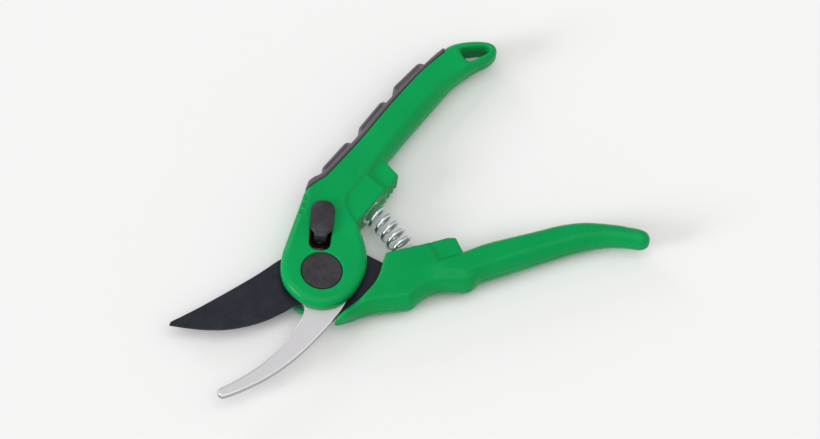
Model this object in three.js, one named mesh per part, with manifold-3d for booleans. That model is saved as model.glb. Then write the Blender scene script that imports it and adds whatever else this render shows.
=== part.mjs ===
// Bypass hand pruner: a hooked counter blade and a cutting blade that turn on one pivot between
// two moulded handles, with a coil spring between the handles and a sliding lock on the head.
// Millimetres. Z runs up through the thickness of the tool from the face it lies on, the pivot
// axis is the Z axis, X points from the pivot to the handles midway between them when open.

import * as THREE from 'three';
import { mergeVertices } from 'three/addons/utils/BufferGeometryUtils.js';
import Module from 'manifold-3d';

const wasm = await Module();
wasm.setup();

// ---------------------------------------------------------------- driving dimensions
const THICK = 16;                 // overall thickness of head and handles
const EDGE = 3;                   // rounding of the moulded handles
const PARTING = 8.05;             // plane where front and rear shells meet
const CLOSING = 35;               // degrees the blade side turns from open to closed
const BLADE_Z = [5.0, 8.0];       // blade plate
const HOOK_Z = [8.1, 11.1];       // hook plate
const CHEEK_Z = [4.7, 11.2];      // rear and front cheeks end here; the steel lies between
const PIVOT_R = 3.0;              // pivot bolt shank
const BUSH_R = 5.0;               // outside of the steel bush
const CAP_R = 8.4;                // round covers over bolt and nut
const CAP_DEPTH = 3.1;            // counterbore depth for bolt head, nut and covers
const HUB_R = 13.2;               // blade hub beside the lock
const LUG_R = 18.4;               // locking lug on the blade hub
const SLOT_ANGLE = 52;            // direction of the lock slot, degrees from +X
const SLOT_OFFSET = -1.95;        // the slot's middle passes this far from the pivot
const SLOT_HALF = 4.55;           // half width of the lock slot
const SLOT_FRONT = [9.2, 26.0];   // slot ends along its direction, front cheek
const SLOT_REAR = [13.4, 29.0];   // the same, rear cheek
const LOCK_TRAVEL = 5.0;          // how far the lock slides towards the pivot
const LOCK_PIN_S = 20.8;          // lock pin's place along the slot, unlocked
const LOCK_PIN_R = 1.9;
const SPRING_Z = 8.0;             // the spring's middle height
const SPRING_R = 4.65;            // radius to the middle of the wire
const WIRE_R = 0.75;
const SPRING_TURNS = 8.7;
const POCKET_R = 6.0;             // spring pockets
const GAP = 0.3;                  // clearance between pieces cut to fit each other

// ---------------------------------------------------------------- materials
const standard = (color, roughness, metalness) => (
  new THREE.MeshStandardMaterial({ color, roughness, metalness }));
const greenNylon = standard(0x0fa156, 0.42, 0);
const greyRubber = standard(0x5c585e, 0.7, 0);
const blackNylon = standard(0x454245, 0.55, 0);
const coatedSteel = standard(0x34363e, 0.45, 0.4);
const satinSteel = standard(0xcbc8cc, 0.35, 0.8);
const zincSteel = standard(0xb9bcc0, 0.3, 0.9);
const springSteel = standard(0xd0d3d8, 0.22, 1);

// ---------------------------------------------------------------- helpers
const radians = (degrees) => degrees * Math.PI / 180;
const polar = (radius, degrees) => [
  radius * Math.cos(radians(degrees)), radius * Math.sin(radians(degrees))];
const points = (list) => list.map(([x, y]) => new THREE.Vector2(x, y));

// A closed outline from stretches: a stretch is {line: [...]}, {curve: [...]} or {arc: [r, a, b]}
// about the pivot. A curve starts at the end of the stretch before it.
function outline(start, stretches) {
  const shape = new THREE.Shape();
  shape.moveTo(...start);
  for (const stretch of stretches) {
    if (stretch.line) stretch.line.forEach((p) => shape.lineTo(...p));
    if (stretch.curve) shape.splineThru(points(stretch.curve));
    if (stretch.arc) {
      const [radius, from, to] = stretch.arc;
      shape.absarc(0, 0, radius, radians(from), radians(to), to < from);
    }
  }
  return shape;
}

function solid(geometry) {
  const bare = geometry.clone();
  bare.deleteAttribute('normal');
  bare.deleteAttribute('uv');
  const merged = mergeVertices(bare, 1e-4);
  return new wasm.Manifold(new wasm.Mesh({
    numProp: 3,
    vertProperties: new Float32Array(merged.attributes.position.array),
    triVerts: new Uint32Array(merged.index.array),
  }));
}

function mesh(name, body, material) {
  const { vertProperties, triVerts } = body.getMesh();
  const geometry = new THREE.BufferGeometry();
  geometry.setAttribute('position', new THREE.BufferAttribute(new Float32Array(vertProperties), 3));
  geometry.setIndex(new THREE.BufferAttribute(new Uint32Array(triVerts), 1));
  const result = new THREE.Mesh(geometry, material);
  result.name = name;
  return result;
}

// A flat plate between two heights.
function plate(shape, z0, z1, curveSegments = 4) {
  const geometry = new THREE.ExtrudeGeometry(shape, {
    depth: z1 - z0, bevelEnabled: false, curveSegments });
  return solid(geometry.translate(0, 0, z0));
}

// A moulded piece between two heights, rounded along both faces, true to its outline.
function moulded(shape, z0, z1, edge, curveSegments = 4, bevelSegments = 2) {
  const geometry = new THREE.ExtrudeGeometry(shape, {
    depth: z1 - z0 - 2 * edge, bevelEnabled: true, bevelThickness: edge, bevelSize: edge,
    bevelOffset: -edge, bevelSegments, curveSegments });
  return solid(geometry.translate(0, 0, z0 + edge));
}

// A round piece: [radius, z] corners of its section, from the axis and back to it.
function turned(corners, x = 0, y = 0, sides = 24) {
  const geometry = new THREE.LatheGeometry(points(corners), sides);
  return solid(geometry.rotateX(Math.PI / 2).translate(x, y, 0));
}

const rod = (x, y, radius, z0, z1, sides = 16) => (
  turned([[0, z0], [radius, z0], [radius, z1], [0, z1]], x, y, sides));

function ring(inner, outer, z0, z1, sides = 32) {
  return turned([[0, z0], [outer, z0], [outer, z1], [0, z1]], 0, 0, sides)
    .subtract(turned([[0, z0 - 1], [inner, z0 - 1], [inner, z1 + 1], [0, z1 + 1]], 0, 0, sides));
}

const slab = (z0, z1) => solid(
  new THREE.BoxGeometry(400, 300, z1 - z0).translate(0, 0, (z0 + z1) / 2));

// A long hole or block with round ends lying along the lock slot, turned back by some degrees.
function alongSlot(s0, s1, half, radius, z0, z1, back = 0) {
  const shape = new THREE.Shape();
  const r = Math.min(radius, half);
  shape.absarc(s1 - r, half - r, r, 0, Math.PI / 2);
  shape.absarc(s0 + r, half - r, r, Math.PI / 2, Math.PI);
  shape.absarc(s0 + r, -half + r, r, Math.PI, 1.5 * Math.PI);
  shape.absarc(s1 - r, -half + r, r, 1.5 * Math.PI, 2 * Math.PI);
  const geometry = new THREE.ExtrudeGeometry(shape, {
    depth: z1 - z0, bevelEnabled: false, curveSegments: 4 });
  geometry.translate(0, -SLOT_OFFSET, z0).rotateZ(radians(SLOT_ANGLE - back));
  return solid(geometry);
}

function slotPoint(s) {
  const [ux, uy] = polar(1, SLOT_ANGLE);
  return [s * ux + SLOT_OFFSET * uy, s * uy - SLOT_OFFSET * ux];
}

// ---------------------------------------------------------------- upper handle (hook side)
const headOutline = outline([24.7, 12], [
  { curve: [[24.3, 6.3], [22.6, 1.0], [20.4, -3.6], [16.9, -8.2], [11.9, -11.9], [5.5, -14.9],
    [-1.5, -15.9], [-8.5, -13.6], [-13.6, -8.2], [-15.9, -1.0], [-15.7, 5.0], [-13.3, 10.8],
    [-8.7, 16.4]] },
  { line: [[13.3, 34.4], [18, 36.4], [30, 34], [33.6, 28.0], [28.2, 24.4], [25.8, 20.6]] },
]);
const barOutline = outline([12.6, 33.8], [
  { line: [[14.6, 24], [24.8, 20.5]] },
  { curve: [[61.4, 34.8], [91.4, 45.9], [104, 49.2]] },
  { line: [[108, 56], [104.4, 64.2]] },
  { curve: [[91.0, 61.0], [68.1, 54.0], [46.2, 45.7], [27.2, 39.7]] },
  { line: [[18.8, 39.0]] },
]);
const loopOutline = outline([97, 47.8], [
  { curve: [[103.4, 49.1], [109.4, 49.8], [117.0, 49.6], [121.5, 51.0], [123.0, 53.8],
    [121.6, 57.0], [117.9, 59.9]] },
  { line: [[111.4, 62.9], [104.4, 64.2], [98, 62]] },
]);
const loopHole = outline([107.9, 54.2], [
  { curve: [[109.4, 52.8], [113.4, 52.6], [117.4, 52.5], [119.7, 53.5], [118.8, 55.5],
    [114.4, 57.8], [109.8, 59.5], [108.2, 59.1]] },
]);
const upperBoxOutline = outline([24.7, 11.6], [
  { line: [[44.3, 19.0], [41.2, 31], [24, 30]] },
]);
const upperStopOutline = outline([40, 17.6], [
  { line: [[44.3, 18.2], [53.1, 22.2], [51.8, 32], [40, 32]] },
]);
// Room between the cheeks for the blade hub, its lug and tang through the whole closing angle.
const mouthOutline = outline([-30, 30], [
  { line: [[-9.5, 22], [-4.2, 17.2], [0, 14.4]] },
  { arc: [14.0, 88, 73] },
  { arc: [19.2, 73, 48] },
  { line: [[18.8, 14.4], [27.2, 10.6], [36, 6], [36, -36], [-30, -36]] },
]);
const gripRegion = outline([8, 44], [
  { line: [[13.0, 34.4], [15.2, 35.5], [18.4, 35.95], [23.5, 36.4]] },
  { curve: [[27.8, 37.1], [47.8, 43.7], [67.8, 51.4], [87.8, 58.2], [101.6, 61.7]] },
  { line: [[103.2, 62.6], [103.2, 75], [8, 75]] },
]);
const gripSeat = outline([8, 44], [
  { line: [[12.8, 34.1], [15.2, 35.2], [18.4, 35.65], [23.6, 36.1]] },
  { curve: [[27.9, 36.8], [47.9, 43.4], [67.9, 51.1], [87.9, 57.9], [101.8, 61.4]] },
  { line: [[103.5, 62.4], [103.5, 75], [8, 75]] },
]);

// The coil spring bows from one box to the other.
const springPath = new THREE.QuadraticBezierCurve(
  new THREE.Vector2(34.6, 18.6), new THREE.Vector2(38.6, 4.2), new THREE.Vector2(37.2, -11.6));

// A spring pocket: a round hole from beyond the box's face to just past the spring's end.
function springPocket(t, outward) {
  const end = springPath.getPoint(t);
  const along = springPath.getTangent(t).multiplyScalar(outward);
  const length = 16;
  const inset = 1.3;
  const hole = new THREE.CylinderGeometry(POCKET_R, POCKET_R, length, 20);
  hole.rotateZ(Math.atan2(along.y, along.x) - Math.PI / 2);
  hole.translate(end.x + along.x * (length / 2 - inset), end.y + along.y * (length / 2 - inset),
    SPRING_Z);
  return solid(hole);
}

// Three upright grooves in the face that meets the other handle's stop.
function stopGrooves() {
  const grooves = [];
  for (let i = 0; i < 3; i += 1) {
    const t = (i + 0.75) / 3.4;
    const x = 44.3 + 8.8 * t;
    const y = 18.2 + 4.0 * t;
    grooves.push(rod(x, y, 0.7, 0, THICK, 6));
  }
  return grooves.reduce((all, next) => all.add(next));
}

const upperBlank = moulded(headOutline, 0, THICK, 2.4, 3)
  .add(moulded(barOutline, 0, THICK, EDGE, 4))
  .add(moulded(loopOutline, 2, THICK - 2, 1.6, 2))
  .add(moulded(upperBoxOutline, 1.2, THICK - 1.2, 0.8))
  .add(moulded(upperStopOutline, 2.4, THICK - 2.4, 0.8).subtract(stopGrooves()))
  .subtract(plate(loopHole, -1, THICK + 1))
  .subtract(plate(gripSeat, -1, THICK + 1))
  .subtract(plate(mouthOutline, CHEEK_Z[0], CHEEK_Z[1]))
  .subtract(springPocket(0, 1))
  .subtract(rod(0, 0, BUSH_R + GAP, -1, THICK + 1, 32))
  .subtract(rod(0, 0, CAP_R + GAP, THICK - CAP_DEPTH, THICK + 1, 40))
  .subtract(rod(0, 0, CAP_R + GAP, -1, CAP_DEPTH, 40));

const hookOutline = outline([-66.4, -24.8], [
  { curve: [[-66.0, -23.4], [-64.6, -22.6], [-57, -22.9], [-48, -22.5], [-40, -21.4],
    [-32, -19.3], [-24.5, -16.2], [-18.5, -12.9], [-14.6, -9.8], [-13.4, -6.2], [-13.2, 0],
    [-11.8, 6.0], [-8.6, 11.2]] },
  { line: [[-2, 17.8], [14, 31.4], [40, 39.5], [43, 34.2], [30, 29], [20.6, 15.6]] },
  { curve: [[17.6, 5], [12.6, -5.6], [7.6, -11.2], [3.2, -15.0], [-1.8, -18.0], [-7, -20.0],
    [-14, -22.4], [-24, -25.4], [-34, -27.4], [-44, -28.4], [-54, -28.2], [-62, -27.3],
    [-65.6, -26.5]] },
]);
const hookPins = [[30.5, 31.8], [37.5, 34.8]];
const hookSlot = alongSlot(11.4, 27.4, SLOT_HALF + 0.2, 4, 0, THICK);

// The hook's seat in the front shell is the hook's own outline with a little room all round.
function hookSeat() {
  const shift = 0.25;
  const seats = [0, 90, 180, 270].map((turn) => {
    const [dx, dy] = polar(shift, turn);
    return plate(hookOutline, PARTING - 1, CHEEK_Z[1], 3).translate([dx, dy, 0]);
  });
  return seats.reduce((all, next) => all.add(next));
}

const upperScrews = [[68, 44], [93, 53.5]];

function screwRoom([x, y]) {
  return turned([[0, -1], [3.1, -1], [3.1, 2.6], [1.75, 2.6], [1.75, 12.4], [0, 12.4]], x, y, 20);
}

const frontSlot = alongSlot(...SLOT_FRONT, SLOT_HALF, 4, PARTING - 1, THICK + 1);
const rearSlot = alongSlot(...SLOT_REAR, SLOT_HALF, 4, -1, PARTING + 1)
  .add(alongSlot(SLOT_REAR[0] - 1.2, SLOT_REAR[1] + 0.6, 6.0, 4, -1, 2.6));

const pinRooms = hookPins.map(([x, y]) => rod(x, y, 1.75, 2.7, 13.3)).reduce((a, b) => a.add(b));
const upperRooms = upperScrews.map(screwRoom).reduce((a, b) => a.add(b));

const upperFront = upperBlank.intersect(slab(PARTING + 0.03, THICK + 5))
  .subtract(hookSeat()).subtract(frontSlot).subtract(pinRooms).subtract(upperRooms);
const upperRear = upperBlank.intersect(slab(-5, PARTING - 0.03))
  .subtract(rearSlot).subtract(pinRooms).subtract(upperRooms);

const hook = plate(hookOutline, ...HOOK_Z, 3)
  .subtract(hookSlot)
  .subtract(rod(0, 0, BUSH_R + 0.06, 0, THICK, 32))
  .subtract(pinRooms);

// Raised grip pads across the back of the handle: the middle of each one's top and its lean.
const PADS = [[34.85, 44.3, 19.0], [58.25, 52.7, 21.4], [81.8, 61.0, 15.8]];
const PAD_Z = [2.4, THICK - 2.4];

function gripPad([x, y, lean]) {
  const shape = new THREE.Shape(points([
    [-9.7, -3.8], [9.7, -3.8], [8.2, -0.8], [6.6, 0], [-6.6, 0], [-8.2, -0.8]]));
  const edge = 0.9;
  const geometry = new THREE.ExtrudeGeometry(shape, {
    depth: PAD_Z[1] - PAD_Z[0] - 2 * edge, bevelEnabled: true, bevelThickness: edge,
    bevelSize: edge, bevelOffset: -edge, bevelSegments: 1 });
  return solid(geometry.rotateZ(radians(lean)).translate(x, y, PAD_Z[0] + edge));
}

const gripBar = moulded(barOutline, 0, THICK, EDGE, 4).intersect(plate(gripRegion, -1, THICK + 1));
const grip = PADS.reduce((all, pad) => all.add(gripPad(pad)), gripBar);

// ---------------------------------------------------------------- lower handle (blade side)
const faceOutline = outline([28.2, -6.0], [
  { curve: [[24.4, -9.2], [21.2, -12.2], [17.2, -14.9], [12.6, -16.7], [8.0, -17.8], [3.2, -18.5],
    [-1.0, -19.3]] },
  { line: [[-5.8, -20.3], [-5.8, -22.3], [0.8, -23.0]] },
  { curve: [[6.1, -23.5], [12, -25.1], [19, -28.3], [24.4, -30.8]] },
  { line: [[28.2, -30.4]] },
  { curve: [[31.6, -29.7], [36.0, -29.6], [40.4, -30.7], [44.4, -32.9], [50.6, -36.5]] },
  { line: [[58.0, -34.0], [56, -28], [45.4, -24], [45.7, -20.5], [46.9, -10.9]] },
]);
const lowerBarOutline = outline([24, -18], [
  { line: [[28, -27], [46, -31], [50, -34.4]] },
  { curve: [[58, -35.2], [71.1, -37.9], [91.1, -42.0], [101.1, -44.4], [111.1, -48.0],
    [118.6, -52.7]] },
  { line: [[123.4, -56.6], [127.6, -57.1], [129.6, -52.4]] },
  { curve: [[119.0, -42.0], [108.9, -35.2], [98.9, -31.0], [88.9, -28.3],
    [68.9, -22.9], [54, -20.6], [38, -17.0]] },
]);
const lowerStopOutline = outline([45, -11.0], [
  { line: [[48.2, -11.2], [54.6, -12.8], [57.6, -14.6], [56.2, -24], [45, -24]] },
]);
const bladePins = [[19, -18.6], [33.5, -19.2]];
const lowerScrews = [[63, -28.8], [98, -37.6]];

const bladeOutline = outline([-65.9, 13.9], [
  { line: [[-64.4, 15.1]] },
  { curve: [[-52, 14.7], [-38, 14.8], [-22, 15.3], [-9, 16.4], [-3.6, 15.2], [0.2, 13.2]] },
  { arc: [HUB_R, 86, 38] },
  { arc: [LUG_R, 34, 6] },
  { line: [[22.0, 1.6], [26.5, -6.4], [29.2, -13.6], [32, -16.2], [45, -18.6], [44, -24],
    [24, -24], [8, -21.0], [-1.5, -18.4]] },
  { arc: [15.5, -95, -158] },
  { line: [[-15.6, -5.2]] },
  { curve: [[-22, -5.3], [-30, -4.8], [-38, -3.1], [-46, -0.2], [-54, 4.4], [-61, 9.7]] },
]);

function bladePlate() {
  const lockNotch = alongSlot(LOCK_PIN_S - LOCK_TRAVEL - LOCK_PIN_R - GAP, 40,
    LOCK_PIN_R + GAP, LOCK_PIN_R, 0, THICK, CLOSING);
  const keep = plate(outline([0, 0], [{ line: [[40, -4], [40, 30]] }]), 0, THICK);
  return plate(bladeOutline, ...BLADE_Z, 3).subtract(lockNotch.intersect(keep));
}

const bladePinRooms = bladePins.map(([x, y]) => rod(x, y, 1.75, 2.7, 13.3))
  .reduce((a, b) => a.add(b));
const lowerRooms = lowerScrews.map(screwRoom).reduce((a, b) => a.add(b));
const blade = bladePlate()
  .subtract(rod(0, 0, BUSH_R + 0.08, 0, THICK, 32))
  .subtract(bladePinRooms);

function bladeSeat() {
  const shift = 0.25;
  const seats = [0, 90, 180, 270].map((turn) => {
    const [dx, dy] = polar(shift, turn);
    return plate(bladeOutline, BLADE_Z[0] - 0.2, PARTING + 0.1, 3).translate([dx, dy, 0]);
  });
  return seats.reduce((all, next) => all.add(next));
}

const lowerBlank = moulded(faceOutline, 0.8, THICK - 0.8, 0.8, 2)
  .add(moulded(lowerBarOutline, 0, THICK, EDGE, 2))
  .add(moulded(lowerStopOutline, 2.4, THICK - 2.4, 0.8))
  .subtract(springPocket(1, -1))
  .subtract(bladeSeat())
  .subtract(bladePinRooms)
  .subtract(lowerRooms);
const lowerFront = lowerBlank.intersect(slab(PARTING + 0.03, THICK + 5));
const lowerRear = lowerBlank.intersect(slab(-5, PARTING - 0.03));

// ---------------------------------------------------------------- pivot
const boltHead = [THICK - CAP_DEPTH + 0.05, THICK - 1.3];
const pivotBolt = turned([[0, 1.15], [PIVOT_R - 0.3, 1.15], [PIVOT_R, 1.5], [PIVOT_R, boltHead[0]],
  [6.2, boltHead[0]], [6.6, boltHead[0] + 0.4], [6.2, boltHead[1]], [0, boltHead[1]]], 0, 0, 32);
const pivotBush = ring(PIVOT_R + 0.08, BUSH_R, CHEEK_Z[0] - 1.4, boltHead[0] - 0.06);
const hexagon = new THREE.Shape(points([0, 60, 120, 180, 240, 300].map((a) => polar(5.8, a))));
const pivotNut = plate(hexagon, 1.2, CHEEK_Z[0] - 1.65)
  .subtract(rod(0, 0, PIVOT_R + 0.05, 0, 6, 32));
const thrustWasher = ring(BUSH_R + 0.2, 11.5, CHEEK_Z[0] + 0.03, BLADE_Z[0] - 0.03);

function pivotCover(flip) {
  const cover = turned([[0, 15.05], [7.0, 15.05], [7.0, 13.0], [CAP_R, 13.0],
    [CAP_R, THICK - 0.25], [CAP_R - 0.3, THICK], [0, THICK]], 0, 0, 40);
  if (!flip) return cover;
  return cover.mirror([0, 0, 1]).translate([0, 0, THICK]);
}

// ---------------------------------------------------------------- screws, pins, lock, spring
function screw([x, y]) {
  return turned([[0, 0.5], [2.7, 0.5], [2.7, 2.3], [1.45, 2.5], [1.45, 11.4], [0.6, 12.1],
    [0, 12.1]], x, y, 12);
}
const dowel = ([x, y]) => turned([[0, 3], [1.3, 3], [1.5, 3.3], [1.5, 12.7], [1.3, 13], [0, 13]],
  x, y, 12);

const KNOB = [15.9, 32.0];        // ends of the lock knob along the slot, unlocked
const KNOB_HALF = 5.4;
const NECK = [15.0, 25.6];        // the neck that runs in the front slot
const NECK_HALF = 2.8;

function lockButton() {
  const shape = new THREE.Shape();
  const r = 3.6;
  shape.absarc(KNOB[1] - r, KNOB_HALF - r, r, 0, Math.PI / 2);
  shape.absarc(KNOB[0] + r, KNOB_HALF - r, r, Math.PI / 2, Math.PI);
  shape.absarc(KNOB[0] + r, -KNOB_HALF + r, r, Math.PI, 1.5 * Math.PI);
  shape.absarc(KNOB[1] - r, -KNOB_HALF + r, r, 1.5 * Math.PI, 2 * Math.PI);
  const knob = new THREE.ExtrudeGeometry(shape, {
    depth: 0.8, bevelEnabled: true, bevelThickness: 1.1, bevelSize: 1.3, bevelOffset: -1.3,
    bevelSegments: 2, curveSegments: 4 });
  knob.translate(0, -SLOT_OFFSET, THICK + 0.25 + 1.1).rotateZ(radians(SLOT_ANGLE));
  const [px, py] = slotPoint(LOCK_PIN_S);
  return solid(knob)
    .add(alongSlot(...NECK, NECK_HALF, 3, CHEEK_Z[1] + 0.3, THICK + 1.2))
    .subtract(rod(px, py, LOCK_PIN_R + 0.1, 0, 14.2));
}

function lockPin() {
  const [px, py] = slotPoint(LOCK_PIN_S);
  return turned([[0, 0.5], [2.9, 0.5], [2.9, 1.3], [LOCK_PIN_R, 1.3], [LOCK_PIN_R, 14.0],
    [0, 14.0]], px, py, 20);
}

function lockRetainer() {
  const [px, py] = slotPoint(LOCK_PIN_S);
  return alongSlot(17.8, 27.6, 5.4, 2.4, 1.35, 2.35).subtract(rod(px, py, LOCK_PIN_R + 0.15, 0, 4));
}

// Helix round the bowed centre line: turns are spread evenly between the two closed ends.
class SpringLine extends THREE.Curve {
  getPoint(t, target = new THREE.Vector3()) {
    const centre = springPath.getPoint(t);
    const along = springPath.getTangent(t);
    const angle = 2 * Math.PI * SPRING_TURNS * t;
    const side = SPRING_R * Math.cos(angle);
    return target.set(centre.x - along.y * side, centre.y + along.x * side,
      SPRING_Z + SPRING_R * Math.sin(angle));
  }
}

function returnSpring() {
  const section = new THREE.Shape();
  section.absarc(0, 0, WIRE_R, 0, 2 * Math.PI);
  const geometry = new THREE.ExtrudeGeometry(section, {
    steps: Math.round(SPRING_TURNS * 10), extrudePath: new SpringLine(), curveSegments: 3,
    bevelEnabled: false });
  return solid(geometry);
}

// ---------------------------------------------------------------- assembly
const pruner = new THREE.Group();
pruner.add(
  mesh('upper_front_shell', upperFront, greenNylon),
  mesh('upper_rear_shell', upperRear, greenNylon),
  mesh('grip_inlay', grip, greyRubber),
  mesh('hook', hook, satinSteel),
  mesh('lower_front_shell', lowerFront, greenNylon),
  mesh('lower_rear_shell', lowerRear, greenNylon),
  mesh('blade', blade, coatedSteel),
  mesh('pivot_bolt', pivotBolt, zincSteel),
  mesh('pivot_bush', pivotBush, zincSteel),
  mesh('pivot_nut', pivotNut, zincSteel),
  mesh('thrust_washer', thrustWasher, blackNylon),
  mesh('front_pivot_cap', pivotCover(false), blackNylon),
  mesh('rear_pivot_cap', pivotCover(true), blackNylon),
  mesh('lock_button', lockButton(), blackNylon),
  mesh('lock_pin', lockPin(), zincSteel),
  mesh('lock_retainer', lockRetainer(), blackNylon),
  mesh('return_spring', returnSpring(), springSteel),
);
upperScrews.forEach((at, i) => pruner.add(mesh(`upper_screw_${i + 1}`, screw(at), zincSteel)));
lowerScrews.forEach((at, i) => pruner.add(mesh(`lower_screw_${i + 1}`, screw(at), zincSteel)));
hookPins.forEach((at, i) => pruner.add(mesh(`hook_pin_${i + 1}`, dowel(at), zincSteel)));
bladePins.forEach((at, i) => pruner.add(mesh(`blade_pin_${i + 1}`, dowel(at), zincSteel)));

export default pruner;
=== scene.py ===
"""The looks of a bypass hand pruner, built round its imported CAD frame.

Moulded pieces are made as fields: a block of space is sampled on an even grid, every shape is a
signed distance (negative inside), shapes are joined and cut with fillets, and the zero surface is
meshed. Shapes are in millimetres until a mesh is made, and everything after that is in metres.
"""

import math

import bpy
import numpy as np
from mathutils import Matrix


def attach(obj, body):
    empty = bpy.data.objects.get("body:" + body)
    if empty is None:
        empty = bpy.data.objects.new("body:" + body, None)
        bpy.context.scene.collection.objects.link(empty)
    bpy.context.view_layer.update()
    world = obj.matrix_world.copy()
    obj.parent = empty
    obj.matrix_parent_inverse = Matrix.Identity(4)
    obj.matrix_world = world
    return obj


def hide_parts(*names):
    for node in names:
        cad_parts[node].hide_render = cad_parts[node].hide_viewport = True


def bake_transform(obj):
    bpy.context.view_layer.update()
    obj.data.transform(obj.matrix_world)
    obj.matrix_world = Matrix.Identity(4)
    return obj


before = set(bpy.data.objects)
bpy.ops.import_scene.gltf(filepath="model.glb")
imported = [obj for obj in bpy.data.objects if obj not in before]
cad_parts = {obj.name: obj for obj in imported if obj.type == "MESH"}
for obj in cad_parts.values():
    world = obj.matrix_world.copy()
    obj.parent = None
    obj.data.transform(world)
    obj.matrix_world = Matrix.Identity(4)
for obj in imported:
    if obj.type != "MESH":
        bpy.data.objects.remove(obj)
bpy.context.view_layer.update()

import openvdb
from mathutils import Matrix, Vector

MM = 0.001

# ------------------------------------------------------------------ dimensions shared with the CAD
THICK = 16.0
MIDDLE = THICK / 2
PARTING = 8.05
CLOSING = 35.0
BLADE_Z = (5.0, 8.0)
HOOK_Z = (8.1, 11.1)
CHEEK_Z = (4.7, 11.2)
CAP_R = 8.4
CAP_DEPTH = 3.1
BUSH_R = 5.0
HUB_R = 13.2
LUG_R = 18.4
GAP = 0.3

# The lock slot runs outwards from near the pivot. A place on it is a distance along that way.
SLOT_ANGLE = math.radians(52)
SLOT_WAY = (math.cos(SLOT_ANGLE), math.sin(SLOT_ANGLE))
SLOT_OFFSET = -1.95
SLOT_HALF = 4.55
SLOT_CORNER = 4
SLOT_FRONT = (9.2, 26.0)
SLOT_REAR = (13.4, 29.0)
LOCK_PIN_S = 20.8
LOCK_PIN_R = 1.9
LOCK_PIN_AT = (LOCK_PIN_S * SLOT_WAY[0] + SLOT_OFFSET * SLOT_WAY[1],
               LOCK_PIN_S * SLOT_WAY[1] - SLOT_OFFSET * SLOT_WAY[0])
LOCK_TRAVEL = 5.0
KNOB = (15.9, 32.0)
KNOB_HALF = 5.4
NECK = (15.0, 25.6)
NECK_HALF = 2.8

# The spring's middle line is the curve with these three control points.
SPRING_Z = 8.0
SPRING_R = 4.65
SPRING_TURNS = 8.7
WIRE_R = 0.75
POCKET_R = 6.0
SPRING_PATH = ((34.6, 18.6), (38.6, 4.2), (37.2, -11.6))

UPPER_SCREWS = ((68, 44), (93, 53.5))
LOWER_SCREWS = ((63, -28.8), (98, -37.6))
SCREW_HEAD_R = 2.7
SCREW_HEAD_Z = (0.5, 2.4)
SCREW_R = 1.45
SCREW_END = 12.1
BOX_INSET = 0.9
STOP_INSET = 2.4

# ------------------------------------------------------------------ the visual model's own dimensions
SHELL_CELL, FINE_CELL, SMALL_CELL = 0.36, 0.27, 0.22
BELOW, ABOVE = -20, 30                  # heights clear of the tool, where a cut is open
SHELL_BLUR = 0.26
PARTING_GAP = 0.03
SEAT_GAP = 0.25
HEAD_EDGE, STEP_EDGE, BAR_EDGE = 3.3, 0.4, 2.6
UNDER_SPREAD = 9                        # how far the rounding of a handle's lower edge reaches
LOOP_START, LOOP_THINNING = 84, 1.9     # where the upper handle thins, and by how much a face
DIMPLES = ((13.2, 32.5), (10.7, 30.3), (8.0, 28.0))
DIMPLE_HALF, DIMPLE_DEPTH = 1.55, 1.3
DIMPLE_LEAN = 0.8                       # tangent of the angle that the dimples are turned by
SCREW_PITCH = 0.9
STEPS_PER_TURN, WIRE_SIDES = 44, 14
# Two points near the spring's ends, the first by the upper handle, the second by the lower. The spring
# is not attached to either handle.
SPRING_BLEND = ((34.6, 19.6, 8), (37.2, -12.6, 8))

# ------------------------------------------------------------------ relief of the materials, metres
SCUFF_DEPTH = GROUND_DEPTH = 0.00001
SPECKLE_DEPTH = 0.00004

# ------------------------------------------------------------------ view, radians and metres
AZIMUTH, ELEVATION, ROLL = math.radians(-42), math.radians(61.4), math.radians(10)
AIM_RIGHT, AIM_UP = 0.0366, 0.0210      # from the pivot, where it meets the head's front face
CAMERA_DISTANCE = 3.781


# ------------------------------------------------------------------ outlines
def curve_through(points, steps=5):
    """Smooth curve through the points: even Catmull-Rom spans."""
    p = np.array([points[0], *points, points[-1]], float)
    spans = []
    for a, b, c, d in zip(p, p[1:], p[2:], p[3:]):
        t = np.arange(steps)[:, None] / steps
        v0, v1 = (c - a) / 2, (d - b) / 2
        spans.append((2 * b - 2 * c + v0 + v1) * t**3
                     + (-3 * b + 3 * c - 2 * v0 - v1) * t**2 + v0 * t + b)
    return np.vstack([*spans, p[-1:]])


def outline(start, *stretches):
    """An outline from stretches of ("line", points), ("curve", points) or ("arc", radius, from, to).

    Arcs are round the pivot, with their angles in degrees.
    """
    points = np.array([start], float)
    for kind, *value in stretches:
        if kind == "arc":
            radius, first, last = value
            count = max(3, int(abs(last - first) / 4))
            t = np.radians(np.linspace(first, last, count))
            new = radius * np.stack([np.cos(t), np.sin(t)], 1)
        elif kind == "curve":
            new = curve_through([points[-1], *value])[1:]
        else:
            new = np.array(value, float)
        points = np.vstack([points, new])
    return points


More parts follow.
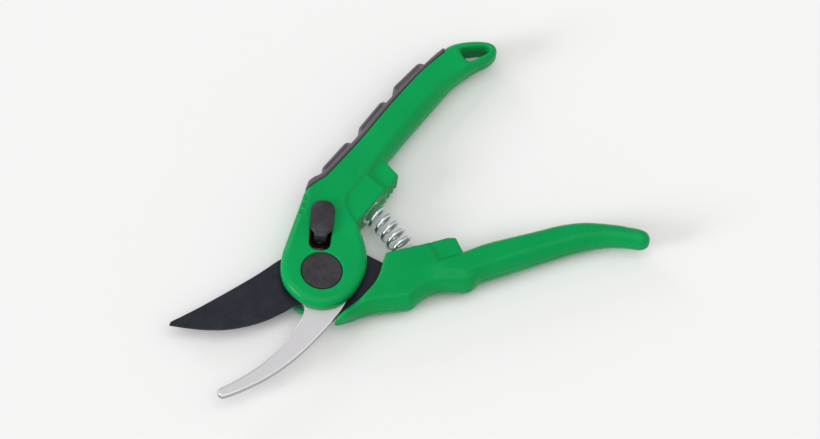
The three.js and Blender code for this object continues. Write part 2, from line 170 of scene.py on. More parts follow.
# The upper handle: its round head, the step down from the head to the bar, and the bar.
STEP = ((31.0, 26.6), (28.2, 24.4), (26.3, 22.0), (25.3, 19.3), (24.8, 16.0))
HEAD = outline(
    (24.7, 12),
    ("curve", (24.3, 6.3), (22.6, 1.0), (20.4, -3.6), (16.9, -8.2), (11.9, -11.9), (5.5, -14.9),
     (-1.5, -15.9), (-8.5, -13.6), (-13.6, -8.2), (-15.9, -1.0), (-15.7, 5.0), (-13.3, 10.8),
     (-8.7, 16.4)),
    ("line", (13.3, 34.4), (18, 36.4), (30, 34), (34.5, 28.6)),
    ("curve", *STEP))
STEP_LINE = curve_through((*STEP, (24.7, 12)))
BAR = outline(
    (12.6, 33.8),
    ("line", (14.6, 24), (24.8, 20.5)),
    ("curve", (61.4, 34.8), (91.4, 45.9), (99.5, 48.4), (109.4, 49.8), (117.0, 49.6),
     (121.5, 51.0), (123.0, 53.8), (121.6, 57.0), (117.9, 59.9)),
    ("curve", (111.4, 63.0), (104.4, 64.1), (91.0, 61.0), (68.1, 54.0), (46.2, 45.7), (27.2, 39.7),
     (22.0, 39.4), (18.8, 39.0)))
BAR_LOWER_EDGE = ((18, 17.5), (24.8, 20.5), (61.4, 34.8), (91.4, 45.9), (99.5, 48.4), (109.4, 49.8),
                  (117, 49.6))
LOOP_HOLE = outline(
    (107.9, 54.2),
    ("curve", (109.4, 52.8), (113.4, 52.6), (117.4, 52.5), (119.7, 53.5), (118.8, 55.5),
     (114.4, 57.8), (109.8, 59.5), (108.2, 59.1)))
# The spring's housing on the upper handle, the stop block on it, and the cheek's hollow inside.
UPPER_STOP_FACE = ((44.3, 18.2), (53.1, 22.2))
UPPER_BOX = outline((24.7, 11.6), ("line", (44.3, 19.0), (41.2, 31), (24, 30)))
UPPER_STOP = outline((40, 17.6), ("line", *UPPER_STOP_FACE, (51.8, 32), (40, 32)))
MOUTH = outline(
    (-30, 30),
    ("line", (-9.5, 22), (-4.2, 17.2), (0, 14.4)),
    ("arc", 14.0, 88, 73),
    ("arc", 19.2, 73, 48),
    ("line", (18.8, 14.4), (27.2, 10.6), (36, 6), (36, -36), (-30, -36)))
# The soft inlay, and the middle and lean of each pad on it.
GRIP_EDGE = ((13.0, 34.4), (15.2, 35.5), (18.4, 35.95), (23.5, 36.4), (27.8, 37.1), (47.8, 43.7),
             (67.8, 51.4), (87.8, 58.2), (101.6, 61.7), (103.2, 62.6))
GRIP_REGION = outline(
    (8, 44),
    ("line", *GRIP_EDGE[:3]),
    ("curve", *GRIP_EDGE[3:9]),
    ("line", GRIP_EDGE[9], (103.2, 75), (8, 75)))
PADS = ((34.85, 44.3, 19.0), (58.25, 52.7, 21.4), (81.8, 61.0, 15.8))
# The hook and its inner edge.
HOOK_INNER = ((-64.6, -22.6), (-57, -22.9), (-48, -22.5), (-40, -21.4), (-32, -19.3),
              (-24.5, -16.2), (-18.5, -12.9), (-14.6, -9.8))
HOOK_EDGE = curve_through(HOOK_INNER)
HOOK = outline(
    (-66.4, -24.8),
    ("curve", (-66.0, -23.4), *HOOK_INNER, (-13.4, -6.2), (-13.2, 0), (-11.8, 6.0), (-8.6, 11.2)),
    ("line", (-2, 17.8), (14, 31.4), (40, 39.5), (43, 34.2), (30, 29), (20.6, 15.6)),
    ("curve", (17.6, 5), (12.6, -5.6), (7.6, -11.2), (3.2, -15.0), (-1.8, -18.0), (-7, -20.0),
     (-14, -22.4), (-24, -25.4), (-34, -27.4), (-44, -28.4), (-54, -28.2), (-62, -27.3),
     (-65.6, -26.5)))
# The lower handle: its broad face, its bar, the lower edge of both, and the stop block.
LOWER_FACE = outline(
    (28.2, -6.0),
    ("curve", (24.4, -9.2), (21.2, -12.2), (17.2, -14.9), (12.6, -16.7), (8.0, -17.8), (3.2, -18.5),
     (-1.0, -19.3), (-4.4, -19.9)),
    ("line", (-6.4, -20.6), (-6.2, -21.6), (-2.6, -22.4)),
    ("curve", (0.8, -23.0), (6.1, -23.5), (12, -25.1), (19, -28.3), (24.2, -30.7)),
    ("curve", (26.2, -30.9), (28.2, -30.3), (31.6, -29.6), (36.0, -29.5), (40.4, -30.7),
     (44.4, -32.9), (48.2, -35.4), (51.2, -36.5)),
    ("curve", (54.0, -36.0), (59.0, -34.0)),
    ("line", (56, -28), (45.4, -24), (45.7, -20.5), (46.4, -15.6), (46.9, -10.9)))
LOWER_BAR = outline(
    (24, -18),
    ("line", (28, -27), (46, -31), (50, -34.4)),
    ("curve", (58, -35.2), (71.1, -37.9), (91.1, -42.0), (101.1, -44.4), (111.1, -48.0),
     (118.6, -52.7), (123.2, -56.4), (126.6, -57.0), (128.9, -55.0), (129.2, -52.2), (127.6, -49.6),
     (124.3, -46.5), (119.0, -42.0), (108.9, -35.2), (98.9, -31.0), (88.9, -28.3), (68.9, -22.9),
     (61, -21.5), (54, -20.6), (46, -18.6), (38, -17.0), (30, -15.6)))
LOWER_UNDERSIDE = ((-4, -22.5), (6.1, -23.5), (19, -28.3), (24.2, -30.7), (28.2, -30.3), (36, -29.5),
                   (44.4, -32.9), (51.2, -36.5), (71.1, -37.9), (91.1, -42.0), (111.1, -48.0),
                   (123, -55.5))
LOWER_STOP = outline((45, -11.0), ("line", (48.2, -11.2), (54.6, -12.8), (57.6, -14.6), (56.2, -24),
                                      (45, -24)))
# The blade and its cutting edge, from the hub to the tip.
BLADE_TIP, BLADE_HEEL = (-65.9, 13.9), (-15.6, -5.2)
BLADE_BELLY = ((-22, -5.3), (-30, -4.8), (-38, -3.1), (-46, -0.2), (-54, 4.4), (-61, 9.7))
BLADE_EDGE = curve_through((BLADE_HEEL, *BLADE_BELLY, BLADE_TIP))
BLADE = outline(
    BLADE_TIP,
    ("line", (-64.4, 15.1)),
    ("curve", (-52, 14.7), (-38, 14.8), (-22, 15.3), (-9, 16.4), (-3.6, 15.2), (0.2, 13.2)),
    ("arc", HUB_R, 86, 38),
    ("arc", LUG_R, 34, 6),
    ("line", (22.0, 1.6), (26.5, -6.4), (29.2, -13.6), (32, -16.2), (45, -18.6), (44, -24),
     (24, -24), (8, -21.0), (-1.5, -18.4)),
    ("arc", 15.5, -95, -158),
    ("line", BLADE_HEEL),
    ("curve", *BLADE_BELLY))


# ------------------------------------------------------------------ fields
def ease(t):
    """Smooth step from 0 at 0 to 1 at 1."""
    t = np.clip(t, 0, 1)
    return t * t * (3 - 2 * t)


def mix(a, b, t):
    """From a at 0 to b at 1."""
    return a + (b - a) * t


def corner(a, b, radius):
    """Distance from a round corner, from the distances to its two faces moved in by the radius."""
    return np.minimum(np.maximum(a, b), 0) - radius + np.hypot(np.maximum(a, 0), np.maximum(b, 0))


def along_slot(x, y):
    """Distance along the lock slot, and across it from its middle line."""
    ux, uy = SLOT_WAY
    return x * ux + y * uy, x * uy - y * ux - SLOT_OFFSET


def segments(points, closed):
    """The pairs of points that a line joins."""
    a = np.array(points, float)
    return list(zip(a, np.roll(a, -1, 0))) if closed else list(zip(a, a[1:]))


class Grid:
    """A block of space on even cells. x, y and z broadcast against each other."""

    def __init__(self, low, high, cell):
        self.low, self.cell = np.array(low, float), cell
        counts = [int(math.ceil((h - l) / cell)) + 1 for l, h in zip(low, high)]
        x, y, z = (np.arange(n, dtype=np.float32) * cell + l for n, l in zip(counts, low))
        self.x, self.y, self.z = x[:, None, None], y[None, :, None], z[None, None, :]

    def line_distance(self, points, closed=False):
        """Distance of each column of the grid from a line of points."""
        best = np.full((self.x.size, self.y.size), 1e9, np.float32)
        x, y = self.x[:, :, 0], self.y[:, :, 0]
        for (ax, ay), (bx, by) in segments(points, closed):
            ex, ey = bx - ax, by - ay
            t = np.clip(((x - ax) * ex + (y - ay) * ey) / max(ex * ex + ey * ey, 1e-9), 0, 1)
            np.minimum(best, (x - ax - t * ex) ** 2 + (y - ay - t * ey) ** 2, out=best)
        return np.sqrt(best)[:, :, None]

    def flat(self, points):
        """Signed distance of each column of the grid from a closed outline."""
        x, y = self.x[:, :, 0], self.y[:, :, 0]
        inside = np.zeros((x.size, y.size), bool)
        for (ax, ay), (bx, by) in segments(points, True):
            if ay != by:
                inside ^= ((ay > y) != (by > y)) & (x < (bx - ax) * (y - ay) / (by - ay) + ax)
        return self.line_distance(points, True) * np.where(inside, -1, 1)[:, :, None]

    def nearness(self, line, spread):
        """1 along a line, falling smoothly to 0 a spread away from it."""
        return 1 - ease(self.line_distance(line) / spread)

    def disc(self, x, y, radius):
        """Flat distance from a circle."""
        return np.hypot(self.x - x, self.y - y) - radius

    def prism(self, flat, z0, z1, edge, rise=None):
        """A flat shape between two heights, its edges rounded over edge across and rise down."""
        rise = edge if rise is None else rise
        depth = np.abs(self.z - (z0 + z1) / 2) - (z1 - z0) / 2
        return corner(flat + edge, (depth + rise) * (edge / rise), edge)

    def slot(self, s0, s1, half, radius):
        """Flat distance from a round-cornered oblong that lies along the lock slot."""
        along, across = along_slot(self.x, self.y)
        along = np.abs(along - (s0 + s1) / 2) - (s1 - s0) / 2
        return corner(along + radius, np.abs(across) - half + radius, radius)

    def bore(self, start, end, radius, z):
        """A round bore between two points of the plan, at height z."""
        (ax, ay), (bx, by) = start, end
        length = math.hypot(bx - ax, by - ay)
        dx, dy = (bx - ax) / length, (by - ay) / length
        along = (self.x - ax) * dx + (self.y - ay) * dy
        round_ = np.hypot((self.y - ay) * dx - (self.x - ax) * dy, self.z - z) - radius
        return np.maximum(round_, np.abs(along - length / 2) - length / 2)


def join(a, b, k=0.0):
    """Both solids, with a fillet of about k between them."""
    if not k:
        return np.minimum(a, b)
    h = np.clip(0.5 + 0.5 * (b - a) / k, 0, 1)
    return b + (a - b) * h - k * h * (1 - h)


def cut(a, b, k=0.0):
    """Solid a without b, the rim eased over about k."""
    return -join(-a, b, k)


def soften(field, sigma):
    """Rounds every edge a little: a Gaussian blur of the field, sigma in cells."""
    reach = max(1, int(math.ceil(2.5 * sigma)))
    weights = np.exp(-0.5 * (np.arange(-reach, reach + 1) / sigma) ** 2)
    weights /= weights.sum()
    for axis in range(3):
        padded = np.pad(field, [(reach, reach) if i == axis else (0, 0) for i in range(3)], "edge")
        field = sum(
            w * np.take(padded, range(i, i + field.shape[axis]), axis)
            for i, w in enumerate(weights.astype(np.float32)))
    return field


def sample(field, at):
    """Field values at points given in cells, between grid points."""
    top = np.array(field.shape) - 2
    base = np.clip(np.floor(at).astype(int), 0, top)
    f = at - base
    value = 0
    for which in range(8):
        bits = np.array([which >> 2 & 1, which >> 1 & 1, which & 1])
        weight = np.prod(np.where(bits, f, 1 - f), 1)
        i, j, k = (base + bits).T
        value = value + weight * field[i, j, k]
    return value


def add_object(name, data):
    """A new object in the scene."""
    item = bpy.data.objects.new(name, data)
    bpy.context.scene.collection.objects.link(item)
    return item


def skin(name, grid, field, blur):
    """The mesh object of a field's zero surface, with normals from the field itself."""
    cell = grid.cell
    field = soften(np.ascontiguousarray(field, dtype=np.float32), blur / cell)
    band = 3 * cell
    volume = openvdb.FloatGrid(band)
    volume.copyFromArray(np.clip(field, -band, band))
    at, triangles, quads = volume.convertToPolygons(0.0, 0.0)
    at = at.astype(float)
    slope = np.gradient(field)
    for _ in range(2):  # each turn moves the points closer to the zero surface
        way = np.stack([sample(s, at) for s in slope], 1)
        size = np.maximum((way ** 2).sum(1), 1e-6)
        step = np.clip(sample(field, at) / size, -0.6, 0.6)[:, None] * way
        at -= np.clip(step, -0.5, 0.5)
    way = np.stack([sample(s, at) for s in slope], 1)
    way /= np.maximum(np.linalg.norm(way, axis=1), 1e-9)[:, None]
    points = (at * cell + grid.low) * MM
    mesh = bpy.data.meshes.new(name)
    faces = [*triangles.tolist(), *quads.tolist()]
    first = faces[0]
    side = np.cross(points[first[1]] - points[first[0]], points[first[2]] - points[first[1]])
    if side @ way[first[0]] < 0:
        faces = [f[::-1] for f in faces]
    mesh.from_pydata(points.tolist(), [], faces)
    mesh.shade_smooth()
    mesh.normals_split_custom_set_from_vertices(way.tolist())
    return add_object(name, mesh)


def place(item, body, material, node):
    """Finishes a piece: its material and its body, and hides the CAD node that it stands for."""
    item.data.materials.append(material)
    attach(item, body)
    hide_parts(node)


# ------------------------------------------------------------------ materials
def shade_tree(name):
    """A new material with its Principled shader, as the helpers that add its nodes.

    The helper wire sets or links the shader's own sockets, and returns the material.
    """
    material = bpy.data.materials.new(name)
    material.use_nodes = True
    tree = material.node_tree
    shader = tree.nodes["Principled BSDF"]
    place_of = tree.nodes.new("ShaderNodeTexCoord")

    def add(kind, links=(), **values):
        node = tree.nodes.new(kind)
        for key, value in values.items():
            setattr(node, key, value)
        for source, target in links:
            if isinstance(source, bpy.types.NodeSocket):
                tree.links.new(source, node.inputs[target])
            else:
                node.inputs[target].default_value = source
        return node

    def noise(scale, detail, roughness=0.55, stretch=(1, 1, 1), turn=0.0):
        spread = add("ShaderNodeMapping", [(place_of.outputs["Object"], "Vector"),
                                           (stretch, "Scale"), ((0, 0, turn), "Rotation")])
        return add("ShaderNodeTexNoise", [
            (spread.outputs["Vector"], "Vector"), (scale, "Scale"), (detail, "Detail"),
            (roughness, "Roughness")]).outputs["Fac"]

    def between(value, low, high, out_low, out_high):
        return add("ShaderNodeMapRange", [
            (value, "Value"), (low, "From Min"), (high, "From Max"), (out_low, "To Min"),
            (out_high, "To Max")]).outputs["Result"]

    def mixed(share, a, b):
        node = add("ShaderNodeMix", data_type="RGBA")
        for source, index in ((share, 0), (a, 6), (b, 7)):
            if isinstance(source, bpy.types.NodeSocket):
                tree.links.new(source, node.inputs[index])
            else:
                node.inputs[index].default_value = source
        return node.outputs[2]

    def bump(height, distance, strength, after=None):
        links = [(height, "Height"), (distance, "Distance"), (strength, "Strength")]
        if after is not None:
            links.append((after, "Normal"))
        return add("ShaderNodeBump", links).outputs["Normal"]

    def wire(**sockets):
        for key, value in sockets.items():
            socket = shader.inputs[key.replace("_", " ")]
            if isinstance(value, bpy.types.NodeSocket):
                tree.links.new(value, socket)
            else:
                socket.default_value = value
        return material

    def pointed():
        return add("ShaderNodeNewGeometry").outputs["Pointiness"]

    def upright():
        """1 on walls that stand along the thickness, 0 on the flat faces."""
        facing = add("ShaderNodeSeparateXYZ", [(place_of.outputs["Normal"], "Vector")])
        flatness = add("ShaderNodeMath", [(facing.outputs["Z"], 0)], operation="ABSOLUTE")
        return between(flatness.outputs["Value"], 0.25, 0.6, 1, 0)

    return noise, between, mixed, bump, pointed, wire, upright


def colour(r, g, b):
    """Linear colour, with alpha, from screen values of 0 to 255."""
    return (*[v / 12.92 if v <= 0.04045 else ((v + 0.055) / 1.055) ** 2.4
              for v in (r / 255, g / 255, b / 255)], 1)


def moulded_plastic(name, base, darker, pale_and_highlight, rough, grain, grain_depth, shine):
    """Moulded plastic: an even colour with faint flow marks, scuffs, a fine grain, and a painted
    highlight on its sharp edges.
    """
    noise, between, mixed, bump, pointed, wire, _ = shade_tree(name)
    flow = between(noise(scale=28, detail=4), 0.35, 0.65, 0, 1)
    tone = mixed(flow, base, darker)
    # Painted highlight: sharp edges, found by pointiness, are mixed towards the pale colour.
    edge = between(pointed(), 0.57, 0.66, 0, 0.35)
    tone = mixed(edge, tone, pale_and_highlight)
    fine = noise(scale=grain, detail=2, roughness=0.6)
    scuffs = noise(scale=900, detail=3, roughness=0.6, stretch=(1, 6, 1), turn=0.7)
    surface = bump(scuffs, SCUFF_DEPTH, 0.25, bump(fine, grain_depth, 0.6))
    gloss = between(noise(scale=160, detail=4), 0.3, 0.7, rough - 0.05, rough + 0.06)
    return wire(Base_Color=tone, Roughness=gloss, Normal=surface, Specular_IOR_Level=shine)


def speckled_black(name, base, pale_and_highlight, rough, metallic=0.0):
    """Dark material with a fine pale speckle, as on grained black nylon or a blackened steel."""
    noise, between, mixed, bump, pointed, wire, _ = shade_tree(name)
    speck = between(noise(scale=1500, detail=3, roughness=0.7), 0.60, 0.74, 0, 0.7)
    cloud = between(noise(scale=150, detail=5, roughness=0.7), 0.35, 0.7, 0, 0.35)
    tone = mixed(cloud, mixed(speck, base, pale_and_highlight), pale_and_highlight)
    # Painted highlight: sharp edges, found by pointiness, are mixed towards the pale colour.
    tone = mixed(between(pointed(), 0.55, 0.65, 0, 0.35), tone, pale_and_highlight)
    surface = bump(noise(scale=1500, detail=3, roughness=0.6), SPECKLE_DEPTH, 0.5)
    gloss = between(noise(scale=220, detail=3), 0.3, 0.7, rough - 0.05, rough + 0.08)
    return wire(Base_Color=tone, Roughness=gloss, Normal=surface, Metallic=metallic,
                Specular_IOR_Level=0.3)


def brushed_steel(name, base, darker, rough, turn, stretch, painted_wall_shade=None):
    """Steel ground in one direction: long fine lines in colour, roughness and relief, and a painted
    white highlight on its sharp edges.

    The last argument, where given, is a darker colour painted on the side walls as painted shade.
    """
    noise, between, mixed, bump, pointed, wire, upright = shade_tree(name)
    lines = noise(scale=420, detail=4, roughness=0.65, stretch=stretch, turn=turn)
    cloud = between(noise(scale=45, detail=4), 0.3, 0.7, 0, 0.6)
    tone = mixed(between(lines, 0.3, 0.75, 0, 0.5), base, darker)
    tone = mixed(cloud, tone, base)
    # Painted highlight: sharp edges, found by pointiness, are mixed towards white.
    tone = mixed(between(pointed(), 0.54, 0.64, 0, 0.3), tone, (1, 1, 1, 1))
    # Painted shade: the side walls take the darker colour.
    if painted_wall_shade:
        tone = mixed(upright(), tone, painted_wall_shade)
    gloss = between(lines, 0.25, 0.75, rough - 0.06, rough + 0.08)
    return wire(Base_Color=tone, Metallic=1.0, Roughness=gloss, Normal=bump(lines, GROUND_DEPTH, 0.6))


green_nylon = moulded_plastic(
    "green_nylon", base=colour(2, 152, 79), darker=colour(2, 143, 73), pale_and_highlight=colour(90, 185, 95),
    rough=0.24, grain=2400, grain_depth=0.00004, shine=0.11)
grey_rubber = moulded_plastic(
    "grey_rubber", base=colour(98, 93, 100), darker=colour(88, 83, 90), pale_and_highlight=colour(140, 136, 144),
    rough=0.55, grain=3000, grain_depth=0.00006, shine=0.3)
black_nylon = speckled_black(
    "black_nylon", base=colour(33, 32, 36), pale_and_highlight=colour(82, 80, 86), rough=0.5)
coated_steel = speckled_black(
    "coated_steel", base=colour(31, 34, 44), pale_and_highlight=colour(56, 59, 70), rough=0.38, metallic=0.35)
# The hook: its side walls carry a painted shade.
satin_steel = brushed_steel(
    "satin_steel", base=colour(227, 225, 228), darker=colour(208, 206, 210), rough=0.42, turn=0.45,
    stretch=(1, 26, 1), painted_wall_shade=colour(178, 178, 179))
zinc_steel = brushed_steel(
    "zinc_steel", base=colour(196, 199, 204), darker=colour(168, 172, 180), rough=0.3, turn=0.0,
    stretch=(1, 3, 1))
spring_steel = brushed_steel(
    "spring_steel", base=colour(222, 225, 230), darker=colour(170, 175, 184), rough=0.3, turn=0.3,
    stretch=(4, 4, 1))


# ------------------------------------------------------------------ moulded handles
def halves(side, body_name, grid, body, front_cuts, rear_cuts):
    """The front and rear shell of a moulded body, each with its own cuts and a clean parting face."""
    body = soften(np.ascontiguousarray(body, dtype=np.float32), SHELL_BLUR / grid.cell)
    front = np.maximum(body, PARTING + PARTING_GAP - grid.z)
    rear = np.maximum(body, grid.z - (PARTING - PARTING_GAP))
    for end, half, cuts in (("front", front, front_cuts), ("rear", rear, rear_cuts)):
        for shape, k in cuts:
            half = cut(half, shape, k)
        name = f"{side}_{end}"
        place(skin(name, grid, half, 0.11), body_name, green_nylon, f"{name}_shell")


def screw_rooms(grid, spots):
    """The sunk rooms for the screws, open to the back."""
    rooms = [join(grid.prism(grid.disc(x, y, SCREW_HEAD_R + 0.4), BELOW, SCREW_HEAD_Z[1] + 0.2, 0.2),
                  grid.prism(grid.disc(x, y, SCREW_R + GAP), BELOW, SCREW_END + GAP, 0.2))
             for x, y in spots]
    return join(*rooms)


def spring_pocket(grid, end, before):
    """A round pocket for one end of the spring, along the way it comes in from the point before."""
    length, overlap = 16, 1.3
    end, before = np.array(end), np.array(before)
    way = (end - before) / np.linalg.norm(end - before)
    return grid.bore(end - way * overlap, end + way * (length - overlap), POCKET_R, SPRING_Z)


def upper_half(grid):
    """Half the upper handle's thickness, which thins towards the loop."""
    return MIDDLE - LOOP_THINNING * ease((grid.x - LOOP_START) / 22)


def upper_handle():
    """The head and the bar on the hook's side, with the rooms for all that they hold."""
    g = Grid((-18, -18, -1.4), (125, 68, 17.4), SHELL_CELL)
    head = g.prism(g.flat(HEAD), 0, THICK, mix(HEAD_EDGE, STEP_EDGE, g.nearness(STEP_LINE, 6)))
    under = g.nearness(BAR_LOWER_EDGE, UNDER_SPREAD) * mix(0.6, 1.0, ease((g.x - 40) / 12))
    to_loop = ease((g.x - 88) / 20)
    half = upper_half(g)
    bar = g.prism(g.flat(BAR), MIDDLE - half, MIDDLE + half,
                  mix(mix(BAR_EDGE, 6.0, under), 3.6, to_loop),
                  mix(mix(BAR_EDGE, 7.4, under), 4.6, to_loop))
    box = g.prism(g.flat(UPPER_BOX), BOX_INSET, THICK - BOX_INSET, 0.8)
    stop = g.prism(g.flat(UPPER_STOP), STOP_INSET, THICK - STOP_INSET, 0.8)
    (x0, y0), (x1, y1) = UPPER_STOP_FACE
    for i in range(3):
        t = (i + 0.75) / 3.4
        groove = g.disc(mix(x0, x1, t), mix(y0, y1, t), 0.75)
        stop = cut(stop, groove, 0.3)
    body = join(join(head, bar, 0.5), join(box, stop, 0.4), 0.3)
    body = np.maximum(body, np.abs(g.z - MIDDLE) - MIDDLE)
    body = cut(body, g.flat(LOOP_HOLE) + 0.2, 2.2)
    body = cut(body, g.flat(GRIP_REGION) - 0.05)
    body = cut(body, g.prism(g.flat(MOUTH), *CHEEK_Z, 0.3), 0.3)
    body = cut(body, spring_pocket(g, SPRING_PATH[0], SPRING_PATH[1]), 0.5)
    body = cut(body, g.disc(0, 0, BUSH_R + GAP))
    recess = g.disc(0, 0, CAP_R + 0.28)
    body = cut(body, np.maximum(recess, THICK - CAP_DEPTH - g.z), 0.4)
    body = cut(body, np.maximum(recess, g.z - CAP_DEPTH), 0.4)
    for x, y in DIMPLES:
        u = g.x - x + DIMPLE_LEAN * (g.y - y)
        v = g.y - y - DIMPLE_LEAN * (g.x - x)
        square = (np.maximum(np.abs(u), np.abs(v)) - DIMPLE_HALF) / math.hypot(1, DIMPLE_LEAN)
        body = cut(body, np.maximum(square, THICK - DIMPLE_DEPTH - g.z), 0.1)
    hook_seat = g.prism(g.flat(HOOK) - SEAT_GAP, PARTING - 2, CHEEK_Z[1], 0.1)
    front_slot = g.prism(g.slot(*SLOT_FRONT, SLOT_HALF, SLOT_CORNER), 5, ABOVE, 0.1)
    plate_room = g.slot(SLOT_REAR[0] - 1.2, SLOT_REAR[1] + 0.6, 6, SLOT_CORNER)
    rear_slot = join(g.prism(g.slot(*SLOT_REAR, SLOT_HALF, SLOT_CORNER), BELOW, 11, 0.1),
                     g.prism(plate_room, BELOW, 2.6, 0.1))
    halves("upper", "hook_side", g, body,
           [(hook_seat, 0), (front_slot, 0.4)],
           [(rear_slot, 0.6), (screw_rooms(g, UPPER_SCREWS), 0.3)])


def lower_handle():
    """The handle on the blade's side: a broad face by the pivot, a round bar and a stop block."""
    g = Grid((-8, -58, -1.4), (131, -3, 17.4), SHELL_CELL)
    under = g.nearness(LOWER_UNDERSIDE, UNDER_SPREAD)
    tip = 1 - ease((g.x + 6) / 11)
    end = 1 - ease((g.x + 8) / 7)
    inset = 0.8 + 0.9 * ease((g.x - 31) / 15) * (1 - under)
    rounding = under * (1 - tip)
    face = g.prism(g.flat(LOWER_FACE), inset + 5.4 * tip, THICK - inset - 4.5 * end,
                   mix(1.4, 5.5, rounding), mix(1.4, 7.1, rounding))
    half = (MIDDLE - 2.5 + 2.5 * ease((g.x - 28) / 20) - 1.2 * ease((g.x - 50) / 55)
            - 1.6 * ease((g.x - 100) / 28))
    bar = g.prism(g.flat(LOWER_BAR), MIDDLE - half, MIDDLE + half, mix(4.2, 5.4, under), half - 0.6)
    stop = g.prism(g.flat(LOWER_STOP), STOP_INSET, THICK - STOP_INSET, 0.8)
    body = join(join(bar, face, 0.6), stop, 0.5)
    body = np.maximum(body, np.abs(g.z - MIDDLE) - MIDDLE)
    body = cut(body, spring_pocket(g, SPRING_PATH[2], SPRING_PATH[1]), 0.5)
    body = cut(body, g.prism(g.flat(BLADE) - SEAT_GAP, BLADE_Z[0] - 0.2, PARTING + 0.1, 0.1))
    halves("lower", "blade_side", g, body, [], [(screw_rooms(g, LOWER_SCREWS), 0.3)])


def grip():
    """The soft inlay along the back of the upper handle, with three grooved pads."""
    g = Grid((11, 33, -1), (106, 69, 17), FINE_CELL)
    strip = np.maximum(g.flat(BAR), g.flat(GRIP_REGION) + 0.2)
    half = upper_half(g) - 0.5 + 0.4 * ease((g.x - LOOP_START) / 14)
    body = g.prism(strip, MIDDLE - half, MIDDLE + half, 1.4 - 0.6 * ease((g.x - 90) / 10), 1.6)
    for x0, y0, lean in PADS:
        ux, uy = math.cos(math.radians(lean)), math.sin(math.radians(lean))
        along = np.abs((g.x - x0) * ux + (g.y - y0) * uy)
        out = (g.y - y0) * ux - (g.x - x0) * uy

        def oblong(half_length, low, high, radius):
            across = np.abs(out - (low + high) / 2) - (high - low) / 2
            return corner(along - half_length + radius, across + radius, radius)

        pad = g.prism(oblong(9.3, -5.6, 0, 2.4), STOP_INSET, THICK - STOP_INSET, 1.0)
        groove = np.maximum(oblong(7.6, -2.1, -1.3, 0.4), 5.0 - np.abs(g.z - MIDDLE))
        body = cut(join(body, pad, 0.5), groove, 0.5)
    place(skin("grip", g, body, 0.2), "hook_side", grey_rubber, "grip_inlay")


# ------------------------------------------------------------------ steel plates
def hook_plate():
    """The counter blade, with a shallow bevel along its inner edge."""
    g = Grid((-68, -30, 7.3), (44.5, 41, 11.9), FINE_CELL)
    hook = g.prism(g.flat(HOOK), *HOOK_Z, 0.3)
    hook = cut(hook, g.prism(g.slot(11.4, 27.4, SLOT_HALF + 0.2, SLOT_CORNER), 0, ABOVE, 0.1))
    hook = cut(hook, g.disc(0, 0, BUSH_R + 0.06))
    bevel = HOOK_Z[1] - 0.35 + g.line_distance(HOOK_EDGE) * 0.7
    hook = np.maximum(hook, (g.z - bevel) * 0.75)
    place(skin("hook_blade", g, hook, 0.12), "hook_side", satin_steel, "hook")


def blade_plate():
    """The cutting blade: a bevel to its edge, and in its hub the notch that the lock pin enters."""
    g = Grid((-67.5, -25, 4.2), (46, 20.5, 8.8), FINE_CELL)
    blade = g.prism(g.flat(BLADE), *BLADE_Z, 0.25)
    c, s = math.cos(math.radians(CLOSING)), math.sin(math.radians(CLOSING))
    along, across = along_slot(g.x * c - g.y * s, g.x * s + g.y * c)
    reach = LOCK_PIN_S - LOCK_TRAVEL
    notch = np.where(along > reach, np.abs(across), np.hypot(across, along - reach))
    blade = cut(blade, notch - LOCK_PIN_R - GAP)
    blade = cut(blade, g.disc(0, 0, BUSH_R + 0.08))
    bevel = BLADE_Z[0] + 2.5 - g.line_distance(BLADE_EDGE) * 0.5
    blade = np.maximum(blade, (bevel - g.z) * 0.9)
    place(skin("cutting_blade", g, blade, 0.12), "blade_side", coated_steel, "blade")


# ------------------------------------------------------------------ pivot, lock and screws
def cap(name, node, turned_over):
    """A round cover over one end of the pivot: slightly domed outside, hollow inside."""
    g = Grid((-9.5, -9.5, 12.2), (9.5, 9.5, 16.9), 0.2)
    cover = g.prism(g.disc(0, 0, CAP_R), 13.0, THICK, 0.5)
    dome = g.z - (THICK - 0.0016 * g.disc(0, 0, 0) ** 2)
    cover = np.maximum(cover, dome)
    cover = cut(cover, np.maximum(g.disc(0, 0, 7.0), g.z - 15.05))
    item = skin(name, g, cover, 0.12)
    if turned_over:
        item.data.transform(Matrix.Translation((0, 0, THICK * MM)) @ Matrix.Rotation(math.pi, 4, "X"))
    place(item, "hook_side", black_nylon, node)


def lock_knob():
    """The thumb button: a crowned top on a neck, which goes down through the slot to the lock pin."""
    g = Grid((2, 6, 11), (30, 34, 20), SMALL_CELL)
    along, across = along_slot(g.x, g.y)
    along = along - (KNOB[0] + KNOB[1]) / 2
    corner_r = 3.0 + 1.2 * ease(along / 4 + 0.5)
    waist = 0.004 * along ** 2 * (along < 0)
    top = 19.2 - 0.006 * along ** 2 - 0.045 * across ** 2
    low_end = 0.6 * ease(-along / 5 - 0.4)
    crown = g.prism(g.slot(*KNOB, KNOB_HALF, corner_r) + waist, 16.25, top, 1.5 + low_end,
                    1.6 + low_end)
    neck = g.prism(g.slot(*NECK, NECK_HALF, 1.2), CHEEK_Z[1] + GAP, 17.6, 0.4)
    knob = join(crown, neck, 0.4)
    knob = cut(knob, np.maximum(g.disc(*LOCK_PIN_AT, LOCK_PIN_R + 0.1), g.z - 14.2))
    place(skin("lock_knob", g, knob, 0.4), "lock_slide", black_nylon, "lock_button")


def retainer():
    """The plate at the back that keeps the button in its slot."""
    g = Grid((4, 9, 0.6), (27, 31, 3.1), SMALL_CELL)
    plate = g.prism(g.slot(17.8, 27.6, 5.4, 2.4), 1.35, 2.35, 0.3)
    plate = cut(plate, g.disc(*LOCK_PIN_AT, LOCK_PIN_R + 0.15), 0.2)
    place(skin("lock_plate", g, plate, 0.12), "lock_slide", black_nylon,
          "lock_retainer")


